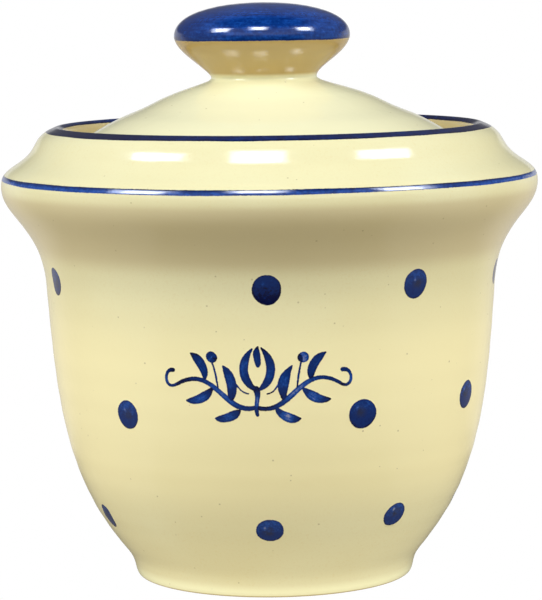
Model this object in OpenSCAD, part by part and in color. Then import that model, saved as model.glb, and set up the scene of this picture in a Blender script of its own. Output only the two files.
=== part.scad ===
// Lidded salt jar in glazed earthenware: a footed pot whose wall flares to a shoulder,
// and a domed lid with a mushroom knob that drops into a gallery inside the rim.
// The origin is the middle of the foot ring on the table, with +Z up.

/* [Foot] */
// Diameter of the foot ring where it meets the table
foot_d = 62.4; // [54:0.2:76]
// Height of the foot ring
foot_h = 3.2; // [2.4:0.1:4]
// How far the foot ring leans out from the table to its top
foot_lean = 0.9; // [0.2:0.1:1.4]
// Rounding of the foot ring's lower edge
foot_edge_r = 0.8; // [0.5:0.1:1.1]
// Width of the bare band that the jar stands on
foot_band_w = 5.6; // [4:0.2:8]
// Depth of the hollow under the jar, inside the foot ring
foot_recess = 2; // [1:0.1:2.8]

/* [Bowl] */
// Height of the hollow curve between the foot ring and the bowl
root_h = 4.5; // [3.5:0.1:5.5]
// How far that curve runs out past the foot ring
root_out = 2.9; // [2.2:0.1:3.6]
// Height of the bowl, from that curve to the waist
bowl_h = 59; // [45:0.5:80]
// Thickness of the wall
wall = 5; // [4:0.1:6]
// Thickness of the floor
floor_t = 6; // [4.5:0.1:8]
// Radius of the flat part of the floor inside
floor_flat_r = 14; // [8:0.5:18]

/* [Shoulder] */
// Outer diameter of the collar above the shoulder
collar_d = 105.6; // [92:0.2:130]
// How far the waist lies inside the collar's outer diameter, on each side
waist_in = 2; // [1:0.1:4]
// How far the shoulder stands out past the collar, on each side
shoulder_out = 7.7; // [6:0.1:10]
// Height of the flare, from the waist to the widest line of the shoulder
flare_h = 22.2; // [18:0.1:27]
// Height of the shoulder's slope, from its widest line to the collar
slope_h = 9.1; // [7.5:0.1:11.5]

/* [Rim] */
// Height of the rolled lip above the foot of the collar
lip_h = 4; // [3.2:0.1:5]
// Thickness of the collar
collar_wall = 6.4; // [5.2:0.1:7.8]
// Rounding of the lip on its inner side
lip_in_r = 1.2; // [0.8:0.1:1.6]
// Depth of the lid's seat below the lip
seat_depth = 8.4; // [6.8:0.1:10]
// Width of the ledge that carries the lid
ledge_w = 6.4; // [5:0.1:8]
// Thickness of that ledge
ledge_t = 4.2; // [3.2:0.1:5.2]
// Rounding of the ledge's corners
ledge_edge_r = 1; // [0.6:0.1:1.3]
// Height of the rounded pocket below the ledge, behind the shoulder
pocket_h = 2.6; // [2:0.1:3.2]
// How much thicker the wall is at that pocket
pocket_in = 0.9; // [0.4:0.1:1.4]

/* [Lid] */
// Gap between the lid's edge and the collar
lid_gap = 1.2; // [0.6:0.1:1.6]
// Height of the lid's edge above its seat
lid_edge_h = 3.6; // [2.9:0.1:4.5]
// Rounding of the lid's edge
lid_edge_r = 1.1; // [0.7:0.1:1.3]
// Height of the dome, from the lid's edge to the neck of the knob
dome_h = 15.2; // [12:0.1:19]
// Diameter of the raised middle of the dome
boss_d = 47.6; // [42:0.2:58]
// Height of that raised middle, up to the neck
boss_h = 4.4; // [3.6:0.1:5.4]
// Width of the shallow hollow round the raised middle
hollow_w = 6.7; // [5.5:0.1:8]
// Fall of the dome across that hollow
hollow_h = 3.1; // [2.6:0.1:3.7]
// Thickness of the dome
dome_t = 5; // [4:0.1:6]
// Gap between the ring under the lid and the mouth of the pot
ring_gap = 0.8; // [0.5:0.1:1.2]
// Thickness of the ring under the lid
ring_w = 4; // [3.2:0.1:5]
// Depth of the ring below the lid's seat
ring_h = 5; // [4:0.1:6.5]

/* [Knob] */
// Diameter of the neck below the knob
neck_d = 23.8; // [19:0.2:29]
// Largest diameter of the knob
knob_d = 39.7; // [33:0.1:48]
// Height from the neck to the knob's widest line
knob_under_h = 9.5; // [7.8:0.1:11.5]
// Height of the knob's crown above that line
crown_h = 7.3; // [6:0.1:9]

/* [Paint] */
// How far the crown's paint runs down past the knob's widest line
crown_paint_h = 0.9; // [0.5:0.1:1.4]
// How far the lip's paint runs down its sides
lip_paint_h = 1.1; // [0.8:0.1:1.6]
// Width of the line painted round the shoulder
line_w = 1.1; // [0.8:0.1:1.5]
// Height of that line above the shoulder's widest line
line_up = 2.2; // [1.6:0.1:2.7]
// Diameter of the painted dots
dot_d = 6; // [4:0.1:8]
// Height of the lowest row of dots
dot_low = 16.7; // [14:0.1:20]
// Height from one row of dots to the next
dot_rise = 26.3; // [20:0.1:27]
// Number of rows of dots
dot_rows = 3; // [1:1:3]

/* [Hidden] */

cream = [0.94, 0.90, 0.77];
cobalt = [0.13, 0.14, 0.42];

// Sides of a full turn, and steps along a long curve, along one inside the pot, along a
// short one and round a corner
turn_sides = 144;
long_steps = 12;
inner_steps = 8;
short_steps = 5;
corner_steps = 3;
// Sides of a dot
dot_sides = 24;
// Bearing of the jar's front, and those of the dots from there: by eye, as a hand sets them
front = 90;
even_bearings = [-74, -1, 42, 84, 124, 165, 205, 246];
odd_bearings = [-44, 26, 64, 104, 145, 185, 225, 266];
// Run of a cutting shape past the clay
overrun = 2;
// Depth of the clay that carries the paint's colour
paint_depth = 1.4;

// Lean of the wall, outwards for each millimetre of rise: at the foot ring, where the
// bowl starts, and at the waist; and inwards, at the foot of the collar
foot_lean_share = 0.28;
bowl_lean_share = 0.8;
waist_lean_share = 0.07;
collar_lean_share = 0.5;
// Rise of the lip for each millimetre inwards, where it meets its crest
crest_rise_share = 0.3;
// Fall of the dome for each millimetre outwards: at its raised middle, in the hollow
// round it, and at its edge
boss_fall_share = 0.47;
hollow_fall_share = 0.36;
edge_fall_share = 0.57;

// Length of each curve's first and last handle, as shares of the height that it spans
root_shares = [0.35, 0.27];
bowl_shares = [0.27, 0.42];
flare_shares = [0.6, 0.3];
slope_shares = [0.506, 0.567];
lip_shares = [0.66, 0.514];
under_shares = [0.23, 0.41];
well_shares = [0.62, 0.757];
inner_flare_shares = [0.2, 0.64];
// The same for curves that turn through a quarter, or run across the dome: shares of
// the height or width along each handle
lip_in_shares = [0.45, 0.45];
crown_shares = [0.64, 0.57];
pocket_shares = [0.6, 0.55];
ceiling_shares = [0.58, 0.58];
neck_shares = [0.36, 0.2];
hollow_shares = [0.35, 0.35];
skirt_shares = [0.35, 0.35];

// Heights, from the table up
z_root = foot_h + root_h;
z_waist = z_root + bowl_h;
z_shoulder = z_waist + flare_h;
z_collar = z_shoulder + slope_h;
z_lip = z_collar + lip_h;
z_floor = foot_recess + floor_t;
z_seat = z_lip - seat_depth;
z_ledge = z_seat - ledge_t;
z_lid_edge = z_seat + lid_edge_h;
z_neck = z_lid_edge + dome_h;
z_boss = z_neck - boss_h;
z_hollow = z_boss - hollow_h;
z_knob = z_neck + knob_under_h;
z_crown = z_knob + crown_h;
z_ring = z_seat - ring_h;
z_ceiling = z_neck - dome_t;
z_line = z_shoulder + line_up;

// Radii
r_foot = foot_d / 2;
r_recess = r_foot - foot_band_w;
r_root = r_foot + foot_lean + root_out;
r_collar = collar_d / 2;
r_waist = r_collar - waist_in;
r_shoulder = r_collar + shoulder_out;
r_collar_in = r_collar - collar_wall;
r_lip = r_collar_in + lip_in_r;
r_mouth = r_collar_in - ledge_w;
r_lid = r_collar_in - lid_gap;
r_ring = r_mouth - ring_gap;
r_ring_in = r_ring - ring_w;
r_boss = boss_d / 2;
r_hollow = r_boss + hollow_w;
r_neck = neck_d / 2;
r_knob = knob_d / 2;
r_pocket = r_shoulder - wall - pocket_in;

// Point on a curve from a to d whose handles end at b and c
function curve_point(a, b, c, d, t) =
    pow(1 - t, 3) * a + 3 * pow(1 - t, 2) * t * b + 3 * (1 - t) * pow(t, 2) * c + pow(t, 3) * d;

// Curve from a to d, without d: it leaves a by one vector and arrives at d by another
function curve(a, leave, arrive, d, steps) =
    [for (i = [0:steps - 1]) curve_point(a, a + leave, d - arrive, d, i / steps)];

// Unit vector from a towards b
function towards(a, b) = (b - a) / norm(b - a);

// Arc of radius r in the corner at b, between the lines from a and to c
function corner(a, b, c, r) =
    let (
        u = towards(b, a),
        v = towards(b, c),
        half = acos(u * v) / 2,
        middle = b + (u + v) / norm(u + v) * r / sin(half),
        start = b + u * r / tan(half),
        spoke = start - middle,
        side = sign(u[0] * v[1] - u[1] * v[0]),
        sweep = side * (2 * half - 180)
    )
    [for (i = [0:corner_steps])
        let (turn = sweep * i / corner_steps)
        middle + [
            spoke[0] * cos(turn) - spoke[1] * sin(turn),
            spoke[0] * sin(turn) + spoke[1] * cos(turn)
        ]];

// Corners of the pot's section
foot_low = [r_foot, 0];
foot_top = [r_foot + foot_lean, foot_h];
root_top = [r_root, z_root];
waist = [r_waist, z_waist];
shoulder = [r_shoulder, z_shoulder];
collar = [r_collar, z_collar];
lip = [r_lip, z_lip];
lip_inner = [r_collar_in, z_lip - lip_in_r];
seat_outer = [r_collar_in, z_seat];
seat_inner = [r_mouth, z_seat];
ledge_inner = [r_mouth, z_ledge];
pocket = [r_pocket, z_ledge - pocket_h];
ledge_outer = [r_collar_in, z_ledge];
waist_inner = [r_waist - wall, z_waist];
well = [floor_flat_r, z_floor];

// Outer side of the pot, from the table up to the lip
pot_side = concat(
    corner([r_recess, 0], foot_low, foot_top, foot_edge_r),
    curve(
        foot_top,
        [foot_lean_share, 1] * root_h * root_shares[0],
        [bowl_lean_share, 1] * root_h * root_shares[1],
        root_top,
        short_steps
    ),
    curve(
        root_top,
        [bowl_lean_share, 1] * bowl_h * bowl_shares[0],
        [waist_lean_share, 1] * bowl_h * bowl_shares[1],
        waist,
        long_steps
    ),
    curve(
        waist,
        [waist_lean_share, 1] * flare_h * flare_shares[0],
        [0, 1] * flare_h * flare_shares[1],
        shoulder,
        long_steps
    ),
    curve(
        shoulder,
        [0, 1] * slope_h * slope_shares[0],
        [-collar_lean_share, 1] * slope_h * slope_shares[1],
        collar,
        long_steps
    ),
    curve(
        collar,
        [-collar_lean_share, 1] * lip_h * lip_shares[0],
        [-1, crest_rise_share] * lip_h * lip_shares[1],
        lip,
        short_steps
    )
);

// Inner side of the pot, from the lip down to the floor
pot_inside = concat(
    curve(
        lip,
        [-1, 0] * lip_in_r * lip_in_shares[0],
        [0, -1] * lip_in_r * lip_in_shares[1],
        lip_inner,
        short_steps
    ),
    corner(lip_inner, seat_outer, seat_inner, ledge_edge_r),
    corner(seat_outer, seat_inner, ledge_inner, ledge_edge_r),
    corner(seat_inner, ledge_inner, ledge_outer, ledge_edge_r),
    curve(
        ledge_outer,
        [1, 0] * (r_pocket - r_collar_in) * pocket_shares[0],
        [0, -1] * pocket_h * pocket_shares[1],
        pocket,
        short_steps
    ),
    curve(
        pocket,
        [0, -1] * (pocket[1] - z_waist) * inner_flare_shares[0],
        [-waist_lean_share, -1] * (pocket[1] - z_waist) * inner_flare_shares[1],
        waist_inner,
        inner_steps
    ),
    curve(
        waist_inner,
        [0, -1] * bowl_h * well_shares[0],
        [-1, 0] * (r_root - floor_flat_r) * well_shares[1],
        well,
        inner_steps
    ),
    [well]
);

pot_section = concat(
    [[0, z_floor], [0, foot_recess], [r_recess, foot_recess], [r_recess, 0]],
    pot_side,
    pot_inside
);

// Corners of the lid's section
ceiling = [0, z_ceiling];
hollow_low = [r_ring_in, z_seat];
ring_inner = [r_ring_in, z_ring];
ring_outer = [r_ring, z_ring];
ring_top = [r_ring, z_seat];
lid_low = [r_lid, z_seat];
lid_top = [r_lid, z_lid_edge];
skirt = lid_top + [-1, edge_fall_share] * lid_edge_r;
hollow = [r_hollow, z_hollow];
boss = [r_boss, z_boss];
neck = [r_neck, z_neck];
knob = [r_knob, z_knob];
crown = [0, z_crown];

// Under side of the lid, from the middle of its hollow out to its seat
lid_inside = concat(
    curve(
        ceiling,
        [1, 0] * r_ring_in * ceiling_shares[0],
        [0, -1] * (z_ceiling - z_seat) * ceiling_shares[1],
        hollow_low,
        long_steps
    ),
    [hollow_low],
    corner(hollow_low, ring_inner, ring_outer, ledge_edge_r),
    corner(ring_inner, ring_outer, ring_top, ledge_edge_r),
    [ring_top]
);

// Outer side of the lid, from its edge up to the top of the knob
lid_side = concat(
    corner(ring_top, lid_low, lid_top, lid_edge_r),
    corner(lid_low, lid_top, skirt, lid_edge_r / 2),
    curve(
        skirt,
        [-1, edge_fall_share] * (r_lid - r_hollow) * skirt_shares[0],
        [-1, hollow_fall_share] * (r_lid - r_hollow) * skirt_shares[1],
        hollow,
        short_steps
    ),
    curve(
        hollow,
        [-1, hollow_fall_share] * hollow_w * hollow_shares[0],
        [-1, boss_fall_share] * hollow_w * hollow_shares[1],
        boss,
        short_steps
    ),
    curve(
        boss,
        [-1, boss_fall_share] * (r_boss - r_neck) * neck_shares[0],
        [0, 1] * boss_h * neck_shares[1],
        neck,
        short_steps
    ),
    curve(
        neck,
        [0, 1] * knob_under_h * under_shares[0],
        [0, 1] * knob_under_h * under_shares[1],
        knob,
        long_steps
    ),
    curve(
        knob,
        [0, 1] * crown_h * crown_shares[0],
        [-1, 0] * r_knob * crown_shares[1],
        crown,
        long_steps
    ),
    [crown]
);

lid_section = concat(lid_inside, lid_side);

module turned(section) {
    rotate_extrude($fn = turn_sides) polygon(section);
}

// All that lies between two heights
module slab(low, high) {
    translate([0, 0, low]) cylinder(r = r_shoulder + overrun, h = high - low, $fn = turn_sides);
}

// The clay under the line painted round the shoulder
module shoulder_line() {
    difference() {
        slab(z_line - line_w / 2, z_line + line_w / 2);
        cylinder(r = r_shoulder - paint_depth, h = z_lip, $fn = turn_sides);
    }
}

// Radius of the bowl's outer side at a height, and its lean there in degrees
function bowl_r(z) = lookup(z, [for (p = pot_side) [p[1], p[0]]]);
function bowl_tilt(z) = atan2(bowl_r(z + dot_d / 2) - bowl_r(z - dot_d / 2), dot_d);

// The clay under one brush dot: a plug square to the wall, at a height and a bearing
module dot(z, bearing) {
    rotate([0, 0, bearing])
        translate([bowl_r(z), 0, z])
            rotate([0, 90 + bowl_tilt(z), 0])
                translate([0, 0, -paint_depth])
                    cylinder(d = dot_d, h = paint_depth + overrun, $fn = dot_sides);
}

// Rows of dots, each set between the dots of the row below
module dots() {
    for (row = [0:dot_rows - 1], bearing = row % 2 == 0 ? even_bearings : odd_bearings)
        dot(dot_low + dot_rise * row, bearing - front);
}

module pot_paint() {
    slab(z_lip - lip_paint_h, z_lip + overrun);
    shoulder_line();
    dots();
}

module pot() {
    color(cream) difference() {
        turned(pot_section);
        pot_paint();
    }
    color(cobalt) intersection() {
        turned(pot_section);
        pot_paint();
    }
}

module lid() {
    color(cream) difference() {
        turned(lid_section);
        slab(z_knob - crown_paint_h, z_crown + overrun);
    }
    color(cobalt) intersection() {
        turned(lid_section);
        slab(z_knob - crown_paint_h, z_crown + overrun);
    }
}

pot();
lid();
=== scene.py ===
"""Looks of a lidded salt jar in cream glazed earthenware with blue brushwork."""

import math

import bmesh
import bpy
import numpy as np
from mathutils import Matrix, Quaternion, Vector


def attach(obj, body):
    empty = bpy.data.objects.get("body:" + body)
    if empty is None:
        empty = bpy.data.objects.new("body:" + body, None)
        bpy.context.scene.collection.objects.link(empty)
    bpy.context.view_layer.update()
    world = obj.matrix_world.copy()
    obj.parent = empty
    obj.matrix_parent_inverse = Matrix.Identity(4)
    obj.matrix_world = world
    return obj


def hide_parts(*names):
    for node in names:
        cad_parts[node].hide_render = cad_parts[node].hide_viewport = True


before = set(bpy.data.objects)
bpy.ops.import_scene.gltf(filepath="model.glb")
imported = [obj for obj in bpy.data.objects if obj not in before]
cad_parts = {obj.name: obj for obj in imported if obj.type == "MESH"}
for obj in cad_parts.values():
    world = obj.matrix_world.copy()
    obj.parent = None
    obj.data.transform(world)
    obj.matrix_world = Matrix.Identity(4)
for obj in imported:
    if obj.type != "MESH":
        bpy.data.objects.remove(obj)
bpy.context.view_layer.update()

MM = 0.001
FULL_TURN = 2 * math.pi

# Camera, fitted to the photograph: its place, tilt and roll, and its lens on a 36 mm sensor
CAMERA_BACK = 658.9 * MM
CAMERA_UP = 136.6 * MM
CAMERA_TILT = math.radians(6.46)
CAMERA_ROLL = math.radians(-0.75)
CAMERA_LENS = 175.4

# The floor: half its side, and how far it lies under the foot, so that the two don't coincide
FLOOR_HALF = 3.0
FLOOR_UNDER = 0.1 * MM

# Softboxes, aimed at one point: bearing from the front, height above the horizon, roll,
# distance, width, height, watts. Their directions were chosen among those that the highlights
# of the photograph point to
SOFTBOXES = {
    "softbox_left": (-66, 40, 19, 1.0, 0.39, 0.38, 3.0),
    "softbox_front": (-7.5, 56, 1.5, 1.0, 0.35, 0.36, 2.0),
    "softbox_right": (69, 41, -19, 1.0, 0.39, 0.38, 2.6),
}
SOFTBOX_COLOUR = (0.88, 1.0, 1.22)
SOFTBOX_AIM = (0, 0, 70 * MM)

# Brightness of the studio round the jar, and of the table under it, by side. A fit to the
# photograph's brightness was the start, and the values were changed from there
STUDIO = {
    "top": 0.0, "back": 0.7, "left": 0.9, "right": 1.0,
    "front_high": 1.6, "front_middle": 2.5, "front_low": 0.3,
}
TABLE = {
    "near": 0.9, "ring_front": 0.12, "ring": 1.05, "middle_front": 0.6, "middle": 1.1,
    "far_front": 0.0, "far_side": 0.9, "far": 0.7,
}
TABLE_COLOUR = (1.0, 0.95, 0.85)

# Where these zones meet: the two ends of each change. In the studio, the back and front go by
# how far a direction, taken level, points away from the camera, the sides by its part to the
# right, and the heights by its part upwards. On the table, the back and front go by the same
# for the way from the jar, and the rings by metres from the jar's axis
SKY_BACK = (0.5, 0.75)
SKY_FRONT = (-0.64, -0.54)
SKY_SIDES = (-0.2, 0.2)
SKY_FRONT_RISES = ((0.18, 0.24), (0.46, 0.54))
SKY_TOP = (0.72, 0.90)
TABLE_BACK = (0.3, 0.8)
TABLE_FRONT = (-0.62, -0.50)
TABLE_RINGS = ((0.055, 0.075), (0.09, 0.13), (0.16, 0.30))

# What the glaze mirrors: the room dimmer than its light on the jar, a pale strip low behind
# it, and the bright middle of each softbox. The strip starts on the table, in metres from the
# jar's axis, and ends at a direction's part upwards. A bright middle fades over its last part
ROOM_IN_GLAZE = 0.2
STRIP_IN_GLAZE = 0.6
STRIP_ON_TABLE = (0.10, 0.16)
STRIP_TOP = (0.10, 0.16)
HOT_SPOT = 15.0
HOT_SHARE = 0.80
HOT_EDGE = 0.7

# Colours, linear
CREAM = (0.775, 0.702, 0.392)
CREAM_PALE = (0.790, 0.728, 0.425)
CREAM_WARM = (0.750, 0.640, 0.330)
# Painted shade: a browner cream under the shoulder's overhang
CREAM_SHADED = (0.655, 0.545, 0.300)
# Painted light: a paler cream on the middle of the bowl
CREAM_LIT = (0.950, 0.840, 0.455)
# Painted highlight: a whiter cream on the lid's dome
CREAM_DOME_SHEEN = (0.800, 0.745, 0.450)
# Painted shade: a dark tan under the knob, and a brown line along the foot's lowest edge
CREAM_DEEP_SHADE = (0.480, 0.320, 0.098)
# Painted shade: browner inside the collar, in the gap round the lid
CREAM_GAP_SHADE = (0.600, 0.475, 0.225)
# Paler cream: thin glaze and painted light toward the foot, and painted light round the knob's
# neck
CREAM_THIN_AND_LIT = (0.930, 0.890, 0.540)
SPECK = (0.38, 0.29, 0.16)
CLAY = (0.560, 0.400, 0.250)
CLAY_DARK = (0.400, 0.270, 0.160)
COBALT = (0.001, 0.020, 0.125)
COBALT_THIN = (0.008, 0.068, 0.325)
COBALT_DEEP = (0.001, 0.003, 0.035)
COBALT_POOL = (0.022, 0.024, 0.034)

# Painted light and shade in the glaze's colour, in millimetres, set with medians of small areas
# of the photograph beside those of the render: painted shade under the shoulder, under the knob,
# inside the collar and along the foot's lowest edge, and painted light on the bowl, on the dome
# and round the knob's neck; toward the foot, thin glaze and painted light. By height: the share
# of the tone, the tone, where it comes in and where it goes out. The dome and the collar's
# inside go by radius, and by the heights at which the tone comes in
NO_START = (-2, -1)
LIGHT_AND_SHADE_ZONES = (
    # Thin glaze and painted light from the floor toward the foot
    (0.8, CREAM_THIN_AND_LIT, *NO_START, 1.2, 3.2),
    # Painted light on the middle of the bowl
    (0.9, CREAM_LIT, 15.0, 30.0, 52.0, 71.0),
    # Painted shade under the shoulder
    (0.75, CREAM_SHADED, 71.6, 76.4, 86.8, 88.8),
    # Painted light on the dome round the foot of the knob's neck
    (1.0, CREAM_THIN_AND_LIT, 107.0, 110.5, 112.2, 113.0),
    # Painted shade under the knob
    (0.95, CREAM_DEEP_SHADE, 112.9, 113.8, 120.8, 121.7),
    # Painted contact shadow: a brown line along the foot's lowest edge, where bare clay also
    # shows
    (0.8, CREAM_DEEP_SHADE, *NO_START, 0.2, 0.5),
)
# Painted highlight on the lid's dome
DOME = (0.9, CREAM_DOME_SHEEN, (*NO_START, 40, 46), (94, 98))
# Painted shade inside the collar, round the lid's edge
COLLAR = (0.9, CREAM_GAP_SHADE, (45.4, 45.9, 49.2, 49.8), (92, 96))

# Gloss of the glaze, over bare glaze and over paint
GLAZE_ROUGH = 0.11
GLAZE_SHINE = 0.5
PAINT_ROUGH = 0.12
PAINT_SHINE = 0.45

# How far a turned piece is out of round, two-sided and three-sided, how deep its ridges are,
# and the height over which their wave goes on by a radian
OVAL = 0.10 * MM
THREE_SIDED = 0.05 * MM
RIDGE = 0.02 * MM
RIDGE_RADIAN = 1.1 * MM

# Fineness of the meshes, and how near two places on a section count as one
SEGMENTS = 320
SAME_POINT = 0.02 * MM
FINE_STEP = 0.08 * MM
LONGEST_STEP = 1.3 * MM
TURN_PER_STEP = math.radians(6)
CREASE = math.radians(40)
SOFTENING = 0.22 * MM

# Paint: how far its skin lies over the glaze and how deep under it, how far it runs past its
# outline and how deep it is there, the cells of its mesh, and, for a band, the steps round the
# piece and how far its edges wander
PAINT_LIFT = 0.02 * MM
PAINT_SINK = 0.05 * MM
PAINT_MARGIN = 0.35 * MM
PAINT_BORDER = 0.012 * MM
PAINT_CELL = 0.14 * MM
BAND_SEGMENTS = 720
BAND_WANDER = 0.12 * MM

# Bare clay: how far it lies over the glaze, how far it runs past its ring and the cells of its
# mesh. A ring of it is flat where the normal rises or falls by this share, outside this
# radius, and the lid's seat lies between these depths under the lip
CLAY_LIFT = 0.015 * MM
CLAY_PAST = 0.5 * MM
CLAY_CELL = 0.25 * MM
FLAT_SHARE = 0.98
FLAT_FROM = 20 * MM
SEAT_LOW, SEAT_HIGH = 12 * MM, 5 * MM

# Painted bands: how far down the lip's paint reaches outside and inside, the height of the
# shoulder line over the widest place and half its width, and how far the crown's paint
# reaches past the widest place of the knob, which is looked for in the lid's top part
LIP_OUTSIDE = 1.0 * MM
LIP_INSIDE = 0.8 * MM
LINE_UP = 2.15 * MM
LINE_HALF = 0.62 * MM
CROWN_PAST = 0.9 * MM
KNOB_PART = 14 * MM

# The knob was set a little to one side, from the first of these heights to the second
KNOB_SHIFT = -1.2 * MM
KNOB_SHIFT_FROM, KNOB_SHIFT_TO = 108 * MM, 115 * MM


# Small helpers


def smooth(low, high, x):
    """0 below low, 1 above high, and an even curve between."""
    t = np.clip((x - low) / (high - low), 0, 1)
    return t * t * (3 - 2 * t)


def ripple(angle, seed, waves, fall=1.0):
    """A closed, wandering line round a turn, about 1 high."""
    rng = np.random.default_rng(seed)
    total = np.zeros_like(angle)
    for k in waves:
        total = total + math.sqrt(2) * np.sin(k * angle + rng.uniform(0, FULL_TURN)) / k**fall
    return total / math.sqrt(sum(1 / k ** (2 * fall) for k in waves))


# Outlines of the turned pieces, taken from the frame


def section(node):
    """A turned node's section in order, as (radius, height), from the axis back to the axis."""
    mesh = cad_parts[node].data
    co = np.array([v.co for v in mesh.vertices])
    found, index, cells = [], [], {}
    for r, z in zip(np.hypot(co[:, 0], co[:, 1]), co[:, 2]):
        i, j = round(r / SAME_POINT), round(z / SAME_POINT)
        near = [(i + a, j + b) for a in (0, -1, 1) for b in (0, -1, 1)]
        k = next((cells[c] for c in near if c in cells), None)
        if k is None:
            k = cells[i, j] = len(found)
            found.append((r, z))
        index.append(k)
    joins = {k: {} for k in range(len(found))}
    for edge in mesh.edges:
        a, b = (index[v] for v in edge.vertices)
        if a != b:
            joins[a][b] = joins[a].get(b, 0) + 1
            joins[b][a] = joins[b].get(a, 0) + 1
    here = min((k for k in joins if len(joins[k]) == 1), key=lambda k: found[k][1])
    path = [here]
    while True:
        onward = [k for k in joins[here] if k not in path]
        if not onward:
            break
        here = max(onward, key=joins[here].get)
        path.append(here)
    points = [found[k] for k in path]
    if points[0][0] > 0:
        points.insert(0, (0.0, points[0][1]))
    if points[-1][0] > 0:
        points.append((0.0, points[-1][1]))
    return np.array(points)


def curve_through(run):
    """Close, even points on a smooth curve through a run of an outline's points."""
    s = np.concatenate([[0], np.cumsum(np.hypot(*np.diff(run, axis=0).T))])
    t = np.linspace(0, s[-1], max(2, int(s[-1] / FINE_STEP)), endpoint=False)
    slope = np.gradient(run, s, axis=0, edge_order=2 if len(run) > 2 else 1)
    k = np.clip(np.searchsorted(s, t, side="right") - 1, 0, len(s) - 2)
    h = (s[k + 1] - s[k])[:, None]
    u = (t - s[k])[:, None] / h
    return (
        (2 * u**3 - 3 * u**2 + 1) * run[k]
        + (u**3 - 2 * u**2 + u) * h * slope[k]
        + (3 * u**2 - 2 * u**3) * run[k + 1]
        + (u**3 - u**2) * h * slope[k + 1]
    )


def resample(points):
    """The outline as close points on a smooth curve, its corners softened as glaze does."""
    d = np.diff(points, axis=0)
    bends = np.abs(np.diff(np.unwrap(np.arctan2(d[:, 1], d[:, 0]))))
    ends = [0, *(np.flatnonzero(bends > CREASE) + 1), len(points) - 1]
    runs = [curve_through(points[a:b + 1]) for a, b in zip(ends[:-1], ends[1:])]
    curve = np.vstack([*runs, points[-1:]])
    reach = int(3 * SOFTENING / FINE_STEP)
    weight = np.exp(-0.5 * (np.arange(-reach, reach + 1) * FINE_STEP / SOFTENING) ** 2)
    weight /= weight.sum()
    mirror = [-1, 1]
    padded = np.vstack([curve[reach:0:-1] * mirror, curve, curve[-2:-reach - 2:-1] * mirror])
    soft = np.column_stack([np.convolve(column, weight, mode="valid") for column in padded.T])
    soft[[0, -1], 0] = 0
    return soft


class Skin:
    """The skin of a turned piece, by distance along its outline and bearing from the front."""

    def __init__(self, node, shift=None):
        self.shift = shift
        self.points = resample(section(node))
        step = np.hypot(*np.diff(self.points, axis=0).T)
        self.s = np.concatenate([[0], np.cumsum(step)])
        tangent = np.gradient(self.points, self.s, axis=0)
        tangent /= np.hypot(*tangent.T)[:, None]
        self.normal = np.column_stack([tangent[:, 1], -tangent[:, 0]])
        self.widest = float(self.s[self.points[:, 0].argmax()])

    def at(self, s):
        """Radius, height, and the normal's run outwards and rise, at distances s."""
        return [np.interp(s, self.s, c) for c in (*self.points.T, *self.normal.T)]

    def find(self, z, start, end):
        """Distance at which the outline crosses a height, between two distances."""
        low, high = min(start, end), max(start, end)
        k = np.flatnonzero((self.s[:-1] >= low) & (self.s[:-1] <= high))
        k = k[(self.points[k, 1] - z) * (self.points[k + 1, 1] - z) <= 0]
        k = k[0] if start < end else k[-1]
        share = (z - self.points[k, 1]) / (self.points[k + 1, 1] - self.points[k, 1])
        return float(self.s[k] + share * (self.s[k + 1] - self.s[k]))

    def place(self, s, bearing, lift=0.0):
        """Points on the skin as the thrower left it: not quite round and faintly ridged."""
        r, z, out, rise = self.at(s)
        uneven = (
            OVAL * np.sin(2 * bearing + 0.7 + 9 * z)
            + THREE_SIDED * np.sin(3 * bearing + 2.1 - 14 * z)
            + RIDGE * np.sin(z / RIDGE_RADIAN + 0.6 * np.sin(bearing))
        ) * smooth(0.0, 12 * MM, r) * np.abs(out)
        off = lift + uneven
        x = (r + off * out) * np.sin(bearing)
        y = -(r + off * out) * np.cos(bearing)
        up = z + off * rise
        if self.shift:
            x = x + self.shift(z)
        return np.stack([x, y, up + 0 * x], axis=-1)

    def rings(self):
        """Distances along the outline that a mesh of it needs."""
        heading = np.unwrap(np.arctan2(self.normal[:, 1], self.normal[:, 0]))
        kept = [0]
        for i in range(1, len(self.s)):
            last = kept[-1]
            far = self.s[i] - self.s[last] > LONGEST_STEP
            if far or abs(heading[i] - heading[last]) > TURN_PER_STEP:
                kept.append(i)
        if kept[-1] != len(self.s) - 1:
            kept.append(len(self.s) - 1)
        return self.s[kept]


def mesh_object(name, vertices, faces, attributes=None):
    """A smooth object from arrays of vertices and four-sided faces, coinciding ones merged."""
    mesh = bpy.data.meshes.new(name)
    mesh.vertices.add(len(vertices))
    mesh.vertices.foreach_set("co", np.ascontiguousarray(vertices, np.float32).ravel())
    mesh.loops.add(4 * len(faces))
    mesh.loops.foreach_set("vertex_index", np.ascontiguousarray(faces, np.int32).ravel())
    mesh.polygons.add(len(faces))
    mesh.polygons.foreach_set("loop_start", np.arange(0, 4 * len(faces), 4, dtype=np.int32))
    mesh.update(calc_edges=True)
    for key, values in (attributes or {}).items():
        kind = "FLOAT_VECTOR" if values.ndim == 2 else "FLOAT"
        made = mesh.attributes.new(key, kind, "POINT")
        made.data.foreach_set(
            "vector" if values.ndim == 2 else "value",
            np.ascontiguousarray(values, np.float32).ravel(),
        )
    shape = bmesh.new()
    shape.from_mesh(mesh)
    bmesh.ops.remove_doubles(shape, verts=shape.verts, dist=1e-7)
    for face in shape.faces:
        face.smooth = True
    shape.to_mesh(mesh)
    shape.free()
    obj = bpy.data.objects.new(name, mesh)
    bpy.context.scene.collection.objects.link(obj)
    return obj


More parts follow.
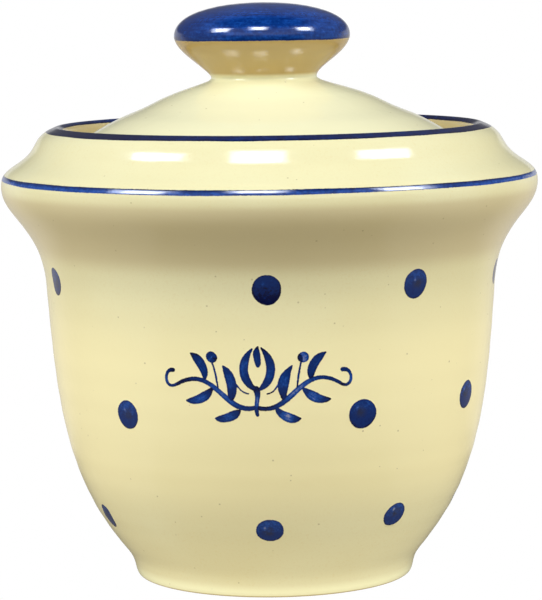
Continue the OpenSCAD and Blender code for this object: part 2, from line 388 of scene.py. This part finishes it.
def turned(name, skin):
    """The whole turned piece as one closed mesh."""
    s = skin.rings()
    bearing = np.linspace(0, FULL_TURN, SEGMENTS, endpoint=False)
    points = skin.place(s[:, None], bearing[None, :])
    points[[0, -1], :, :2] = points[[0, -1], :, :2].mean(axis=1, keepdims=True)
    i = np.arange(len(s) - 1)[:, None] * SEGMENTS
    k = np.arange(SEGMENTS)[None, :]
    onward = (k + 1) % SEGMENTS
    faces = np.stack([i + k, i + onward, i + SEGMENTS + onward, i + SEGMENTS + k], axis=-1)
    return mesh_object(name, points.reshape(-1, 3), faces.reshape(-1, 4))


def painted(name, skin, s, bearing, edge, load, pool, brush, wraps=False, lift=PAINT_LIFT):
    """A closed skin of paint over a grid, where edge is the depth inside its outline. Past
    the outline it sinks into the glaze, and it ends a margin further out."""
    rows, columns = edge.shape
    keep = edge > -PAINT_MARGIN
    onward = (np.arange(columns) + 1) % columns
    across = columns if wraps else columns - 1
    cells = (keep[:-1] | keep[1:])[:, :across]
    cells = cells | (keep[:-1] | keep[1:])[:, onward][:, :across]
    height = (lift + PAINT_BORDER) * smooth(-PAINT_MARGIN, 0, edge) - PAINT_BORDER
    top = skin.place(s, bearing, height).reshape(-1, 3)
    under = skin.place(s, bearing, -PAINT_SINK).reshape(-1, 3)
    i, k = np.nonzero(cells)
    n = (k + 1) % columns
    a, b = i * columns + k, i * columns + n
    c, d = (i + 1) * columns + n, (i + 1) * columns + k
    count = rows * columns
    faces = [np.stack([a, b, c, d], 1), np.stack([d, c, b, a], 1) + count]

    def wall(open_side, p, q):
        p, q = p[open_side], q[open_side]
        faces.append(np.stack([p + count, q + count, q, p], 1))

    def kept(row, column):
        inside = (row >= 0) & (row < rows - 1)
        if wraps:
            column = column % columns
        else:
            inside &= (column >= 0) & (column < across)
        result = np.zeros(len(row), bool)
        result[inside] = cells[row[inside], column[inside]]
        return result

    wall(~kept(i - 1, k), a, b)
    wall(~kept(i, k + 1), b, c)
    wall(~kept(i + 1, k), c, d)
    wall(~kept(i, k - 1), d, a)
    faces = np.vstack(faces)
    used, faces = np.unique(faces, return_inverse=True)
    faces = faces.reshape(-1, 4)
    both = {
        "edge": np.tile(edge.ravel() / MM, 2),
        "load": np.tile(load.ravel(), 2),
        "pool": np.tile(pool.ravel(), 2),
        "brush": np.tile(brush.reshape(-1, 3) / MM, (2, 1)),
    }
    return mesh_object(
        name,
        np.vstack([top, under])[used],
        faces,
        {key: values[used] for key, values in both.items()},
    )


# Materials


class Nodes:
    """The node tree of a material, or of the world, with short calls to add to it."""

    def __init__(self, name, tree=None):
        if tree is None:
            self.material = bpy.data.materials.new(name)
            self.material.use_nodes = True
            tree = self.material.node_tree
        self.tree = tree
        tree.nodes.clear()

    def add(self, kind, inputs=None, **settings):
        node = self.tree.nodes.new(kind)
        for key, value in settings.items():
            setattr(node, key, value)
        for key, value in (inputs or {}).items():
            if isinstance(value, bpy.types.NodeSocket):
                self.tree.links.new(value, node.inputs[key])
            else:
                node.inputs[key].default_value = value
        return node

    def math(self, operation, *values):
        node = self.add("ShaderNodeMath", operation=operation)
        for i, value in enumerate(values):
            if isinstance(value, bpy.types.NodeSocket):
                self.tree.links.new(value, node.inputs[i])
            else:
                node.inputs[i].default_value = value
        return node.outputs[0]

    def ramp(self, value, low, high, to_low=0.0, to_high=1.0):
        node = self.add(
            "ShaderNodeMapRange",
            {"Value": value, "From Min": low, "From Max": high,
             "To Min": to_low, "To Max": to_high},
            interpolation_type="SMOOTHSTEP",
        )
        return node.outputs["Result"]

    def noise(self, vector, scale, detail, rough):
        return self.add(
            "ShaderNodeTexNoise",
            {"Vector": vector, "Scale": scale, "Detail": detail, "Roughness": rough},
        ).outputs["Fac"]

    def mix(self, share, a, b):
        node = self.add("ShaderNodeMix", data_type="RGBA")
        for i, value in ((0, share), (6, a), (7, b)):
            if isinstance(value, bpy.types.NodeSocket):
                self.tree.links.new(value, node.inputs[i])
            else:
                node.inputs[i].default_value = (*value, 1) if i else value
        return node.outputs[2]

    def blend(self, share, low, high):
        node = self.add("ShaderNodeMix", {0: share, 2: low, 3: high}, data_type="FLOAT")
        return node.outputs[0]

    def between(self, value, come, here, leave, gone):
        """0 before come and after gone, and 1 from here to leave."""
        rise = self.ramp(value, come, here)
        return self.math("MULTIPLY", rise, self.ramp(value, leave, gone, 1.0, 0.0))

    def length(self, vector):
        return self.add(
            "ShaderNodeVectorMath", {0: vector}, operation="LENGTH"
        ).outputs["Value"]

    def dot(self, vector, direction):
        return self.add(
            "ShaderNodeVectorMath", {0: vector, 1: direction}, operation="DOT_PRODUCT"
        ).outputs["Value"]

    def place(self):
        return self.add("ShaderNodeTexCoord").outputs["Object"]

    def value(self, name):
        return self.add("ShaderNodeAttribute", attribute_name=name)

    def finish(self, shader, kind="ShaderNodeOutputMaterial"):
        out = self.add(kind)
        self.tree.links.new(shader, out.inputs["Surface"])
        return getattr(self, "material", None)


def cream_colour(n):
    """The glaze's colour: cream with fine grain and a few specks, with painted shade under the
    shoulder, under the knob, inside the collar and at the foot's lowest edge, and painted light
    on the bowl, the dome and round the knob's neck; paler toward the foot, where thin glaze and
    painted light both play a part."""
    place = n.place()
    cloud = n.noise(place, scale=26, detail=2, rough=0.5)
    colour = n.mix(n.ramp(cloud, 0.40, 0.68), CREAM, CREAM_PALE)
    grain = n.noise(place, scale=1900, detail=2, rough=0.6)
    colour = n.mix(n.ramp(grain, 0.50, 0.75, 0, 0.42), colour, CREAM_WARM)
    axes = n.add("ShaderNodeSeparateXYZ", {0: place})
    z = axes.outputs["Z"]
    across = n.add("ShaderNodeCombineXYZ", {0: axes.outputs["X"], 1: axes.outputs["Y"]})
    r = n.length(across.outputs[0])

    def within(value, limits):
        return n.between(value, *(limit * MM for limit in limits))

    def toned(colour, share, tone, where):
        return n.mix(n.math("MULTIPLY", where, share), colour, tone)

    def ringed(colour, share, tone, radii, heights):
        rise = n.ramp(z, *(height * MM for height in heights))
        return toned(colour, share, tone, n.math("MULTIPLY", within(r, radii), rise))

    # Painted light and shade by radius and by height, from the tables above
    colour = ringed(colour, *DOME)
    for share, tone, *heights in LIGHT_AND_SHADE_ZONES:
        colour = toned(colour, share, tone, within(z, heights))
    colour = ringed(colour, *COLLAR)

    # Three cells in ten hold a speck, each of its own size
    cells = n.add(
        "ShaderNodeTexVoronoi", {"Vector": place, "Scale": 520.0, "Randomness": 1.0}
    )
    pick = n.add("ShaderNodeSeparateColor", {"Color": cells.outputs["Color"]})
    size = n.ramp(pick.outputs["Red"], 0.70, 1.0, 0.0, 0.115)
    speck = n.math("LESS_THAN", cells.outputs["Distance"], size)
    return n.mix(n.math("MULTIPLY", speck, 0.50), colour, SPECK)


def glaze_surface(n, colour, rough=GLAZE_ROUGH, shine=GLAZE_SHINE):
    """A glossy glaze with the faint unevenness of a dipped and fired coat."""
    place = n.place()
    swell = n.noise(place, scale=120, detail=2, rough=0.5)
    peel = n.noise(place, scale=620, detail=2, rough=0.5)
    height = n.math("ADD", swell, n.math("MULTIPLY", peel, 0.22))
    bump = n.add("ShaderNodeBump", {"Height": height, "Strength": 0.5, "Distance": 0.12 * MM})
    wear = n.noise(place, scale=300, detail=3, rough=0.6)
    return n.add(
        "ShaderNodeBsdfPrincipled",
        {
            "Base Color": colour,
            "Roughness": n.ramp(wear, 0.3, 0.7, rough - 0.02, rough + 0.04),
            "IOR": 1.75,
            "Specular IOR Level": shine,
            "Normal": bump.outputs["Normal"],
        },
    ).outputs[0]


def cream_glaze():
    """The cream glaze of both pieces."""
    n = Nodes("cream_glaze")
    return n.finish(glaze_surface(n, cream_colour(n)))


def cobalt_paint():
    """Blue brushwork under the glaze: thin where the brush ran dry, dark where it pooled, and
    thinner where its load carries painted highlights and reflection.
    """
    n = Nodes("cobalt_paint")
    edge = n.value("edge").outputs["Fac"]
    load = n.value("load").outputs["Fac"]
    pool = n.value("pool").outputs["Fac"]
    brush = n.value("brush").outputs["Vector"]
    place = n.place()
    rag = n.math("SUBTRACT", n.noise(place, scale=2400, detail=2, rough=0.6), 0.5)
    depth = n.math("ADD", edge, n.math("MULTIPLY", rag, 0.22))
    mask = n.ramp(depth, -0.06, 0.06)
    streak = n.noise(brush, scale=1.0, detail=3, rough=0.6)
    cloud = n.noise(place, scale=1100, detail=3, rough=0.65)
    rim = n.ramp(edge, 0.08, 0.5, 0.28, 0.0)
    strength = n.math("ADD", load, rim)
    for uneven, amount in ((streak, 0.7), (cloud, 0.8)):
        uneven = n.math("MULTIPLY", n.math("SUBTRACT", uneven, 0.5), amount)
        strength = n.math("ADD", strength, uneven)
    colour = n.mix(n.ramp(strength, 0.0, 0.55), COBALT_THIN, COBALT)
    colour = n.mix(n.ramp(strength, 0.6, 1.15), colour, COBALT_DEEP)
    pooled = n.math("MULTIPLY", pool, n.ramp(cloud, 0.3, 0.7, 0.5, 1.0))
    colour = n.mix(pooled, colour, COBALT_POOL)
    glaze = cream_colour(n)
    colour = n.mix(n.ramp(strength, -0.35, 0.15, 0.4, 0.0), colour, glaze)
    return n.finish(glaze_surface(n, n.mix(mask, glaze, colour), PAINT_ROUGH, PAINT_SHINE))


def bare_clay():
    """Unglazed clay that ends in a ragged line against the glaze."""
    n = Nodes("bare_clay")
    place = n.place()
    edge = n.value("edge").outputs["Fac"]
    rag = n.math("SUBTRACT", n.noise(place, scale=700, detail=3, rough=0.6), 0.5)
    mask = n.ramp(n.math("ADD", edge, n.math("MULTIPLY", rag, 0.5)), -0.1, 0.15)
    cloud = n.noise(place, scale=500, detail=4, rough=0.6)
    colour = n.mix(n.ramp(cloud, 0.35, 0.7), CLAY_DARK, CLAY)
    grit = n.noise(place, scale=2200, detail=3, rough=0.6)
    bump = n.add("ShaderNodeBump", {"Height": grit, "Strength": 0.6, "Distance": 0.1 * MM})
    clay = n.add(
        "ShaderNodeBsdfPrincipled",
        {"Base Color": colour, "Roughness": 0.85, "Normal": bump.outputs["Normal"]},
    )
    both = n.add(
        "ShaderNodeMixShader", {0: mask, 1: glaze_surface(n, cream_colour(n)), 2: clay.outputs[0]}
    )
    return n.finish(both.outputs[0])


def floor_surface():
    """A table that the camera sees white, and that lights the jar from below as a lit one
    does. Its light is met by rays that land on it, and isn't sampled as a lamp's is."""
    n = Nodes("floor")
    place = n.place()
    far = n.length(place)
    y = n.add("ShaderNodeSeparateXYZ", {0: place}).outputs["Y"]
    y = n.math("DIVIDE", y, n.math("MAXIMUM", far, 0.01))
    front, back = n.ramp(y, *TABLE_FRONT, 1.0, 0.0), n.ramp(y, *TABLE_BACK)

    ring = n.blend(front, TABLE["ring"], TABLE["ring_front"])
    middle = n.blend(front, TABLE["middle"], TABLE["middle_front"])
    rest = n.blend(back, TABLE["far_side"], TABLE["far"])
    rest = n.blend(front, rest, TABLE["far_front"])
    light = TABLE["near"]
    for limits, beyond in zip(TABLE_RINGS, (ring, middle, rest)):
        light = n.blend(n.ramp(far, *limits), light, beyond)

    path = n.add("ShaderNodeLightPath")
    behind = n.math("MULTIPLY", back, n.ramp(far, *STRIP_ON_TABLE))
    mirrored = n.blend(behind, n.math("MULTIPLY", light, ROOM_IN_GLAZE), STRIP_IN_GLAZE)
    light = n.blend(path.outputs["Is Glossy Ray"], light, mirrored)
    shown = n.blend(path.outputs["Is Camera Ray"], light, 1.0)
    colour = n.mix(path.outputs["Is Camera Ray"], TABLE_COLOUR, (1, 1, 1))
    n.material.cycles.emission_sampling = "NONE"
    surface = n.add("ShaderNodeEmission", {"Color": colour, "Strength": shown})
    return n.finish(surface.outputs[0])


def finish_piece(obj, body, slot, material, *nodes):
    """Gives a piece its material and its body, and hides the nodes it stands for; slot is not
    used.
    """
    obj.data.materials.append(material)
    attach(obj, body)
    if nodes:
        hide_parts(*nodes)


# The turned pieces


def knob_shift(z):
    """How far to the right the lid lies at a height, because its knob was set aside."""
    return KNOB_SHIFT * smooth(KNOB_SHIFT_FROM, KNOB_SHIFT_TO, z)


pot_skin = Skin("pot")
lid_skin = Skin("lid", knob_shift)
glaze, paint, clay = cream_glaze(), cobalt_paint(), bare_clay()

pot = turned("pot_glazed", pot_skin)
finish_piece(pot, "pot", "cream_glaze", glaze, "pot")
lid = turned("lid_glazed", lid_skin)
finish_piece(lid, "lid", "cream_glaze", glaze, "lid")


# Painted bands


def band(
    name, skin, low, high, load_of, seed, wander=BAND_WANDER, step=PAINT_CELL, lift=PAINT_LIFT
):
    """A band of paint right round a piece, between two distances along its outline."""
    margin = 3 * wander + PAINT_MARGIN
    top = min(high + margin, skin.s[-1])
    s = np.linspace(low - margin, top, max(8, int((top - low + margin) / step)))[:, None]
    bearing = np.linspace(0, FULL_TURN, BAND_SEGMENTS, endpoint=False)[None, :]
    waves = (1, 2, 3, 5, 7, 11, 16, 23)
    edge = s - low - wander * ripple(bearing, seed, waves, 0.5)
    if high < skin.s[-1]:
        edge = np.minimum(edge, high + wander * ripple(bearing, seed + 1, waves, 0.5) - s)
    r = skin.at(s)[0]
    brush = np.stack(
        np.broadcast_arrays(0.22 * r * np.sin(bearing), 0.22 * r * np.cos(bearing), 1.6 * s),
        axis=-1,
    )
    load = load_of(s, bearing) + 0 * edge
    return painted(
        name, skin, s + 0 * edge, bearing + 0 * edge, edge, load, 0 * edge, brush, True, lift
    )


top_of_pot = float(pot_skin.s[pot_skin.points[:, 1].argmax()])
z_lip = float(pot_skin.points[:, 1].max())
outer_lip = pot_skin.find(z_lip - LIP_OUTSIDE, top_of_pot, pot_skin.widest)
inner_lip = pot_skin.find(z_lip - LIP_INSIDE, top_of_pot, pot_skin.s[-1])
z_shoulder = float(np.interp(pot_skin.widest, pot_skin.s, pot_skin.points[:, 1]))
line_at = pot_skin.find(z_shoulder + LINE_UP, pot_skin.widest, top_of_pot)
z_crown = float(lid_skin.points[-1, 1])
knob_from = lid_skin.find(z_crown - KNOB_PART, lid_skin.s[-1], 0)
above_neck = lid_skin.s > knob_from
widest_knob = float(lid_skin.s[above_neck][lid_skin.points[above_neck, 0].argmax()])
crown_edge = widest_knob - CROWN_PAST

# The lip's load varies at random round the rim and is also heavier at the front than at the back:
# painted reflection, the back paler as a glaze at a grazing angle mirrors the pale room
lip_paint = band(
    "lip_paint", pot_skin, outer_lip, inner_lip,
    lambda s, b: 1.0 + 0.2 * np.cos(b) + 0.16 * ripple(b, 21, (1, 2, 3, 5), 0.7), 31,
)
finish_piece(lip_paint, "pot", "cobalt_paint", paint)
# The line's paint thins toward its lower edge all round: a painted highlight on its lower half.
# Its load also varies at random along it
shoulder_paint = band(
    "shoulder_line", pot_skin, line_at - LINE_HALF, line_at + LINE_HALF,
    lambda s, b: 0.22 + 0.6 * (s - line_at) / MM + 0.14 * ripple(b, 22, (1, 2, 3, 4, 7), 0.6),
    41, 0.07 * MM,
)
finish_piece(shoulder_paint, "pot", "cobalt_paint", paint)
crown_paint = band(
    "knob_crown_paint", lid_skin, crown_edge, lid_skin.s[-1],
    lambda s, b: 0.46 + 0.08 * ripple(b, 23, (1, 2, 3, 5), 0.6), 51, 0.05 * MM, 0.3 * MM,
)
finish_piece(crown_paint, "lid", "cobalt_paint", paint)


# Dots, row by row from the front's left round to the right: bearing and height of each, its
# width and height, the tilt of its long way, and how full the brush was. The photograph shows
# eleven: four low, three in the middle and four at the top, the first of each row. A program
# worked their bearings and heights out from it, and they were then corrected from measured
# differences to the render. The others are made up
DOTS = {
    "low": (
        (-66, 15.8, 4.9, 6.2, 10, 0.62), (-1.2, 16.9, 5.9, 6.0, 80, 0.42),
        (38.8, 18.5, 5.7, 5.9, 12, 0.42), (81, 18.0, 5.5, 5.9, 5, 0.42),
        (125, 16.2, 5.8, 6.1, -8, 0.50), (166, 17.3, 5.6, 5.9, 14, 0.30),
        (204, 16.0, 5.9, 6.2, 0, 0.45), (245, 17.0, 5.6, 6.0, -10, 0.38),
    ),
    "middle": (
        (-40, 41.8, 5.8, 6.4, 4, 0.46), (23.2, 42.5, 6.5, 6.4, 12, 0.56),
        (61.0, 43.3, 6.0, 6.3, 6, 0.50), (104, 42.2, 5.7, 6.1, 8, 0.50),
        (146, 43.4, 5.9, 6.0, -4, 0.35), (184, 42.0, 5.6, 6.2, 0, 0.42),
        (226, 43.1, 5.8, 6.0, 10, 0.55), (266, 42.4, 5.6, 6.1, -7, 0.36),
    ),
    "top": (
        (-67.8, 68.9, 5.4, 6.3, -5, 0.60), (-1.0, 70.0, 6.2, 6.7, 0, 0.85),
        (36.9, 69.8, 6.2, 6.6, 8, 0.50), (79.2, 69.0, 5.7, 6.0, 0, 0.52),
        (124, 69.4, 5.8, 6.1, -9, 0.52), (165, 68.5, 5.6, 6.2, 6, 0.34),
        (206, 69.9, 5.9, 6.0, 3, 0.60), (247, 69.0, 5.7, 6.1, -4, 0.42),
    ),
}

# Half the side of the grid under a dot, the load from which its brush was full, and a height
# over the curves of the pot's foot
DOT_REACH = 3.8 * MM
FULL_BRUSH = 0.7
OVER_FOOT = 5 * MM


def patch(skin, z, bearing, half_width, half_height):
    """A grid on the pot's outer side round one point: s, bearing, and metres right and up."""
    side = skin.find(OVER_FOOT, 0, skin.widest)
    middle = skin.find(z, side, skin.widest)
    reach = PAINT_MARGIN + 0.1 * MM
    up = np.arange(-half_height - reach, half_height + reach, PAINT_CELL)[:, None]
    right = np.arange(-half_width - reach, half_width + reach, PAINT_CELL)[None, :]
    up, right = up + 0 * right, right + 0 * up
    s = middle + up
    return s, bearing + right / skin.at(s)[0], right, up


def dot(name, skin, bearing, z, wide, tall, tilt, full, rng):
    """One dot set down with the tip of a brush."""
    s, turn, x, y = patch(skin, z * MM, math.radians(bearing), DOT_REACH, DOT_REACH)
    angle = np.arctan2(y, x)
    lean = math.radians(90 - tilt)
    mean, spread = (wide + tall) * MM / 4, abs(tall - wide) * MM / 4
    outline = mean + spread * np.cos(2 * (angle - lean))
    for k in (3, 4, 5, 7):
        outline = outline + 0.045 * MM / (k - 1.5) * np.sin(k * angle + rng.uniform(0, FULL_TURN))
    far = np.hypot(x, y)
    edge = outline - far
    aside = rng.uniform(-0.6, 0.6, 2) * MM
    pool = smooth(1.9 * MM, 0.3 * MM, np.hypot(x - aside[0], y - aside[1]))
    pool = pool * (0.75 if full < FULL_BRUSH else 0.0)
    fall = smooth(2.5 * MM, -2.5 * MM, y)
    load = full + (0.55 if full > FULL_BRUSH else 0.34) * (fall - 0.5)
    # A lighter patch up and to the left in each dot is a painted highlight
    glint = aside + np.array([-0.8, 0.9]) * MM
    load = load - 0.35 * smooth(0.9 * MM, 0.1 * MM, np.hypot(1.6 * (x - glint[0]), y - glint[1]))
    brush = np.stack([2.2 * x, 2.2 * y, x * 0 + rng.uniform(0, 1)], axis=-1)
    return painted(name, skin, s, turn, edge, load, pool, brush)


rng = np.random.default_rng(7)
for row, places in DOTS.items():
    for count, (bearing, z, wide, tall, tilt, full) in enumerate(places, 1):
        spot = dot(f"dot_{row}_{count}", pot_skin, bearing, z, wide, tall, tilt, full, rng)
        finish_piece(spot, "pot", "cobalt_paint", paint)


# A brushed sprig on the front: its bearing and height, and half its grid's width and height.
# Strokes in millimetres from its middle, for its right half: the ends and handles of each,
# and its width at the start, in the middle and at the end
SPRIG_AT = (-3.6, 50.2)
SPRIG_REACH = (21.5 * MM, 9.2 * MM)
SPRIG = {
    "stem": ((0.4, -5.6), (7.5, -7.6), (9.0, 4.6), (17.6, -0.6), 1.0, 1.15, 0.75),
    "curl": ((17.6, -0.6), (20.6, -2.6), (20.8, 2.6), (18.3, 2.2), 0.75, 0.7, 0.95),
    "leaf_low": ((3.8, -5.9), (4.8, -7.4), (7.4, -8.4), (9.2, -7.9), 0.5, 2.1, 0.35),
    "leaf_high": ((5.7, -4.3), (4.8, -1.6), (5.6, 1.2), (7.3, 3.4), 0.5, 2.3, 0.35),
    "leaf_under": ((9.6, -1.3), (11.2, -3.4), (13.4, -4.4), (15.4, -4.2), 0.5, 2.1, 0.35),
    "leaf_over": ((11.4, 0.6), (11.2, 2.8), (12.4, 5.0), (14.4, 6.2), 0.5, 2.1, 0.35),
    "bud": ((0.5, -1.6), (3.3, 0.4), (3.7, 4.2), (1.1, 7.4), 0.7, 2.0, 0.45),
    "stalk": ((8.2, -1.9), (8.6, 0.4), (8.9, 2.6), (9.6, 4.6), 0.35, 0.45, 0.4),
    "berry": ((9.6, 5.2), (9.7, 5.3), (9.8, 5.4), (9.9, 5.5), 2.1, 2.2, 2.1),
    "tendril": ((2.0, -2.4), (4.4, -2.2), (4.0, 0.6), (5.6, -0.6), 0.35, 0.4, 0.6),
}
MIDDLE = {
    "heart": ((0.0, 3.6), (0.3, 4.8), (-0.2, 6.2), (0.1, 7.6), 0.9, 1.6, 0.4),
    "foot": ((0.0, -1.4), (0.5, -3.2), (-0.5, -5.0), (0.0, -7.2), 1.4, 1.0, 0.8),
}


def stroke_depth(x, y, stroke, side, rng):
    """Depth inside one brush stroke, the way along it and across it, as shares and metres."""
    *points, start, middle, end = stroke
    jitter = rng.normal(0, 0.12, (4, 2))
    a, b, c, d = (np.array(point) * [side, 1] * MM + j * MM for point, j in zip(points, jitter))
    t = np.linspace(0, 1, 42)[:, None]
    line = (1 - t)**3 * a + 3 * (1 - t)**2 * t * b + 3 * (1 - t) * t * t * c + t**3 * d
    t = t[:, 0]
    width = (1 - t) ** 2 * start + 2 * t * (1 - t) * (2 * middle - (start + end) / 2) + t**2 * end
    width = width * MM * (1 + 0.06 * np.sin(9 * t + rng.uniform(0, FULL_TURN)))
    best = np.full(x.shape, -1.0)
    along, across = np.zeros(x.shape), np.zeros(x.shape)
    for i in range(len(t) - 1):
        dx, dy = line[i + 1] - line[i]
        length = dx * dx + dy * dy
        share = np.clip(((x - line[i, 0]) * dx + (y - line[i, 1]) * dy) / length, 0, 1)
        far = np.hypot(x - line[i, 0] - share * dx, y - line[i, 1] - share * dy)
        depth = (width[i] + share * (width[i + 1] - width[i])) / 2 - far
        closer = depth > best
        best = np.where(closer, depth, best)
        along = np.where(closer, t[i] + share * (t[i + 1] - t[i]), along)
        cross = ((y - line[i, 1]) * dx - (x - line[i, 0]) * dy) / math.sqrt(length)
        across = np.where(closer, cross, across)
    return best, along, across


def sprig(name, skin):
    """The sprig: both halves from the same strokes, each with the hand's small differences."""
    rng = np.random.default_rng(12)
    bearing, z = SPRIG_AT
    s, turn, x, y = patch(skin, z * MM, math.radians(bearing), *SPRIG_REACH)
    edge = np.full(x.shape, -1.0)
    load, pool = np.zeros(x.shape), np.zeros(x.shape)
    brush = np.zeros((*x.shape, 3))
    strokes = [(stroke, side) for stroke in SPRIG.values() for side in (-1, 1)]
    strokes += [(stroke, 1) for stroke in MIDDLE.values()]
    for stroke, side in strokes:
        depth, along, across = stroke_depth(x, y, stroke, side, rng)
        fill = 0.72 - 0.75 * np.sin(math.pi * along) ** 2 * rng.uniform(0.35, 1.0)
        fill = fill + 0.35 * (along - 0.5) * rng.choice([-1, 1])
        over = depth > edge
        edge = np.where(over, depth, edge)
        load = np.where(over, fill, load)
        layer = rng.uniform(0, 1) + 0 * x
        brush = np.where(
            over[..., None], np.stack([4.5 * across, 0.5 * along * 8 * MM, layer], axis=-1), brush
        )
    return painted(name, skin, s, turn, edge, load, pool, brush)


leaves = sprig("brushed_sprig", pot_skin)
finish_piece(leaves, "pot", "cobalt_paint", paint)


# Bare clay where the jar stood in the kiln and where the lid sits


def clay_band(name, skin, body, up, low, high, seed):
    """Bare clay over the flat ring that faces up or down between two heights."""
    flat = (skin.normal[:, 1] * up > FLAT_SHARE) & (skin.points[:, 0] > FLAT_FROM)
    flat &= (skin.points[:, 1] > low) & (skin.points[:, 1] < high)
    start, end = skin.s[flat][[0, -1]]
    obj = band(
        name, skin, start - CLAY_PAST, end + CLAY_PAST, lambda s, b: 0 * s, seed,
        step=CLAY_CELL, lift=CLAY_LIFT,
    )
    finish_piece(obj, body, "bare_clay", clay)


clay_band("foot_ring_clay", pot_skin, "pot", -1, -1 * MM, 1 * MM, 61)
clay_band("gallery_clay", pot_skin, "pot", 1, z_lip - SEAT_LOW, z_lip - SEAT_HIGH, 63)
clay_band("lid_seat_clay", lid_skin, "lid", -1, z_lip - SEAT_LOW, z_lip - SEAT_HIGH, 65)


# Camera, lights and floor

camera_data = bpy.data.cameras.new("camera")
camera_data.lens = CAMERA_LENS
camera_data.sensor_width = 36
camera_data.clip_start, camera_data.clip_end = 0.01, 20
camera = bpy.data.objects.new("camera", camera_data)
camera.matrix_world = (
    Matrix.Translation((0, -CAMERA_BACK, CAMERA_UP))
    @ Matrix.Rotation(math.pi / 2 - CAMERA_TILT, 4, "X")
    @ Matrix.Rotation(CAMERA_ROLL, 4, "Z")
)
bpy.context.scene.collection.objects.link(camera)
bpy.context.scene.camera = camera

aim = Vector(SOFTBOX_AIM)
spots = []
for name, (bearing, rise, roll, far, wide, tall, power) in SOFTBOXES.items():
    bearing, rise = math.radians(bearing), math.radians(rise)
    way = Vector((
        math.sin(bearing) * math.cos(rise), -math.cos(bearing) * math.cos(rise), math.sin(rise)
    ))
    data = bpy.data.lights.new(name, "AREA")
    data.shape, data.size, data.size_y, data.energy = "RECTANGLE", wide, tall, power
    data.color = SOFTBOX_COLOUR
    lamp = bpy.data.objects.new(name, data)
    lamp.location = aim + far * way
    turn = way.to_track_quat("Z", "Y") @ Quaternion((0, 0, 1), math.radians(roll))
    lamp.rotation_euler = turn.to_euler()
    bpy.context.scene.collection.objects.link(lamp)
    right, up, _ = turn.to_matrix().transposed()
    spots.append((way, right, up, HOT_SHARE * wide / (2 * far), HOT_SHARE * tall / (2 * far)))

world = bpy.data.worlds.new("studio")
world.use_nodes = True
bpy.context.scene.world = world
sky = Nodes(world.name, world.node_tree)
look = sky.add("ShaderNodeTexCoord").outputs["Generated"]
way = sky.add("ShaderNodeSeparateXYZ", {0: look})
height = way.outputs["Z"]
level = sky.math("SQRT", sky.math("SUBTRACT", 1.0, sky.math("MULTIPLY", height, height)))
ahead = sky.math("DIVIDE", way.outputs["Y"], sky.math("MAXIMUM", level, 0.01))
behind = sky.ramp(ahead, *SKY_BACK)
sides = sky.blend(sky.ramp(way.outputs["X"], *SKY_SIDES), STUDIO["left"], STUDIO["right"])
sides = sky.blend(behind, sides, STUDIO["back"])
front = STUDIO["front_low"]
for limits, above in zip(SKY_FRONT_RISES, ("front_middle", "front_high")):
    front = sky.blend(sky.ramp(height, *limits), front, STUDIO[above])
sides = sky.blend(sky.ramp(ahead, *SKY_FRONT, 1.0, 0.0), sides, front)
around = sky.blend(sky.ramp(height, *SKY_TOP), sides, STUDIO["top"])
strip = sky.math("MULTIPLY", behind, sky.ramp(height, *STRIP_TOP, 1.0, 0.0))
mirrored = sky.blend(strip, sky.math("MULTIPLY", around, ROOM_IN_GLAZE), STRIP_IN_GLAZE)

for direction, right, up, half_wide, half_tall in spots:
    depth = sky.math("MAXIMUM", sky.dot(look, direction), 0.01)
    spot = HOT_SPOT
    for axis, half in ((right, half_wide), (up, half_tall)):
        off = sky.math("ABSOLUTE", sky.math("DIVIDE", sky.dot(look, axis), depth))
        spot = sky.math("MULTIPLY", spot, sky.ramp(off, HOT_EDGE * half, half, 1.0, 0.0))
    mirrored = sky.math("ADD", mirrored, spot)
path = sky.add("ShaderNodeLightPath")
shown = sky.blend(path.outputs["Is Glossy Ray"], around, mirrored)
shown = sky.blend(path.outputs["Is Camera Ray"], shown, 1.0)
sky.finish(
    sky.add("ShaderNodeBackground", {"Color": (1, 1, 1, 1), "Strength": shown}).outputs[0],
    "ShaderNodeOutputWorld",
)

floor_mesh = bpy.data.meshes.new("floor")
corners = ((-1, -1), (1, -1), (1, 1), (-1, 1))
floor_mesh.from_pydata(
    [(FLOOR_HALF * x, FLOOR_HALF * y, 0) for x, y in corners], [], [(0, 1, 2, 3)]
)
floor = bpy.data.objects.new("floor", floor_mesh)
floor.location.z = -FLOOR_UNDER
floor_mesh.materials.append(floor_surface())
bpy.context.scene.collection.objects.link(floor)

bpy.context.scene.view_settings.view_transform = "Standard"
